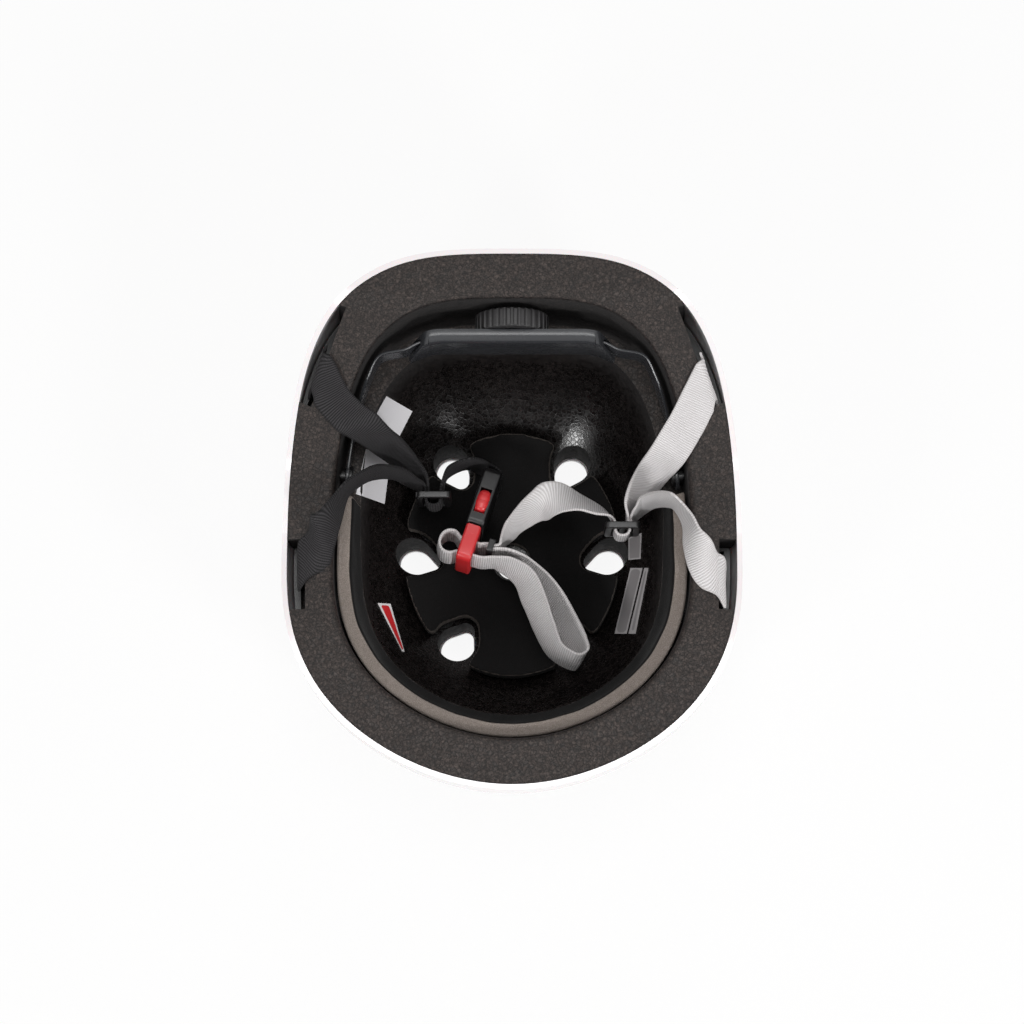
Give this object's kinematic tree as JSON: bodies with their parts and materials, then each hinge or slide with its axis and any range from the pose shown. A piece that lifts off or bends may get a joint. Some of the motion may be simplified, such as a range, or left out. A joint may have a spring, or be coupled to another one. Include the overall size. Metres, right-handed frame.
{
  "type": "skateboard helmet",
  "caption": "Hard-shell skate helmet lying on its crown: vented shell, foam liner, pads, strap harness with side-release buckle and a rear dial fit adjuster.",
  "frame": {"origin": "on the table under the middle of the shell's outline, at the crown", "axes": "+Z from the crown to the rim, +Y to the back of the head, +X to the wearer's right"},
  "size_m": [0.216, 0.252, 0.1479],
  "materials": {
    "shell": "gloss, hard moulded shell",
    "foam": "beaded foam, slight sheen",
    "pad_cloth": "brushed cloth over grey foam",
    "hook_tape": "hook tape",
    "webbing_black": "ribbed webbing",
    "webbing_white": "ribbed webbing",
    "trim_black": "moulded",
    "buckle_red": "moulded, slightly translucent",
    "adjuster_grey": "semi-gloss, moulded",
    "knob_black": "knurled grip",
    "gear_nylon": "nylon",
    "screw": "zinc plated"
  },
  "bodies": {
    "helmet": {"outer_shell": "shell", "eps_liner": "foam", "brow_pad": "pad_cloth", "crown_pad": "pad_cloth", "pad_hook_patches": "hook_tape", "strap_rear_left": "webbing_black", "strap_front_left": "webbing_black", "strap_rear_right": "webbing_white", "strap_front_right": "webbing_white", "strap_anchors": "trim_black", "divider_left": "trim_black", "divider_right": "trim_black", "chin_strap_left": "webbing_black", "chin_strap_right": "webbing_white", "buckle_female": "trim_black", "band_left": "adjuster_grey", "band_right": "adjuster_grey", "band_anchor_pins": "trim_black"},
    "cradle": {"dial_housing": "adjuster_grey", "dial_base": "adjuster_grey"},
    "dial": {"dial_knob": "knob_black", "pinion": "gear_nylon", "dial_screw": "screw"},
    "left_rack": {"rack_left": "gear_nylon"},
    "right_rack": {"rack_right": "gear_nylon"},
    "plug": {"buckle_male": "buckle_red", "chin_strap_tail": "webbing_white", "strap_keeper": "trim_black"},
    "upper_prong": {"prong_upper": "buckle_red"},
    "lower_prong": {"prong_lower": "buckle_red"}
  },
  "joints": [
    {"name": "cradle_slide", "type": "slide", "parent": "helmet", "child": "cradle", "axis": [0, -1, 0], "range_m": [0, 0.012], "deforming": ["band_left", "band_right"]},
    {"name": "dial_turn", "type": "hinge", "parent": "cradle", "child": "dial", "pos_m": [0, 0.0889, 0.124], "axis": [0, 1, 0], "range_deg": [-192, 0]},
    {"name": "left_rack_slide", "type": "slide", "parent": "cradle", "child": "left_rack", "axis": [1, 0, 0], "range_m": [0, 0.012], "deforming": ["band_left"]},
    {"name": "right_rack_slide", "type": "slide", "parent": "cradle", "child": "right_rack", "axis": [-1, 0, 0], "range_m": [0, 0.012], "deforming": ["band_right"]},
    {"name": "buckle_release", "type": "slide", "parent": "helmet", "child": "plug", "axis": [-0.3085, -0.9383, 0.1564], "range_m": [0, 0.02], "deforming": ["chin_strap_right", "chin_strap_tail", "prong_upper", "prong_lower"]},
    {"name": "prong_upper_squeeze", "type": "hinge", "parent": "plug", "child": "upper_prong", "pos_m": [-0.01906, 0.00422, 0.07228], "axis": [0.95, -0.3123, 0], "range_deg": [-13, 0], "stiffness_Nm_per_rad": 0.002},
    {"name": "prong_lower_squeeze", "type": "hinge", "parent": "plug", "child": "lower_prong", "pos_m": [-0.02001, 0.00134, 0.05312], "axis": [0.95, -0.3123, 0], "range_deg": [0, 13], "stiffness_Nm_per_rad": 0.002}
  ],
  "couplings": [
    {"joint": "dial_turn", "follows": "cradle_slide", "rad_per_m": -277.78},
    {"joint": "left_rack_slide", "follows": "cradle_slide", "ratio": 1},
    {"joint": "right_rack_slide", "follows": "cradle_slide", "ratio": 1}
  ]
}
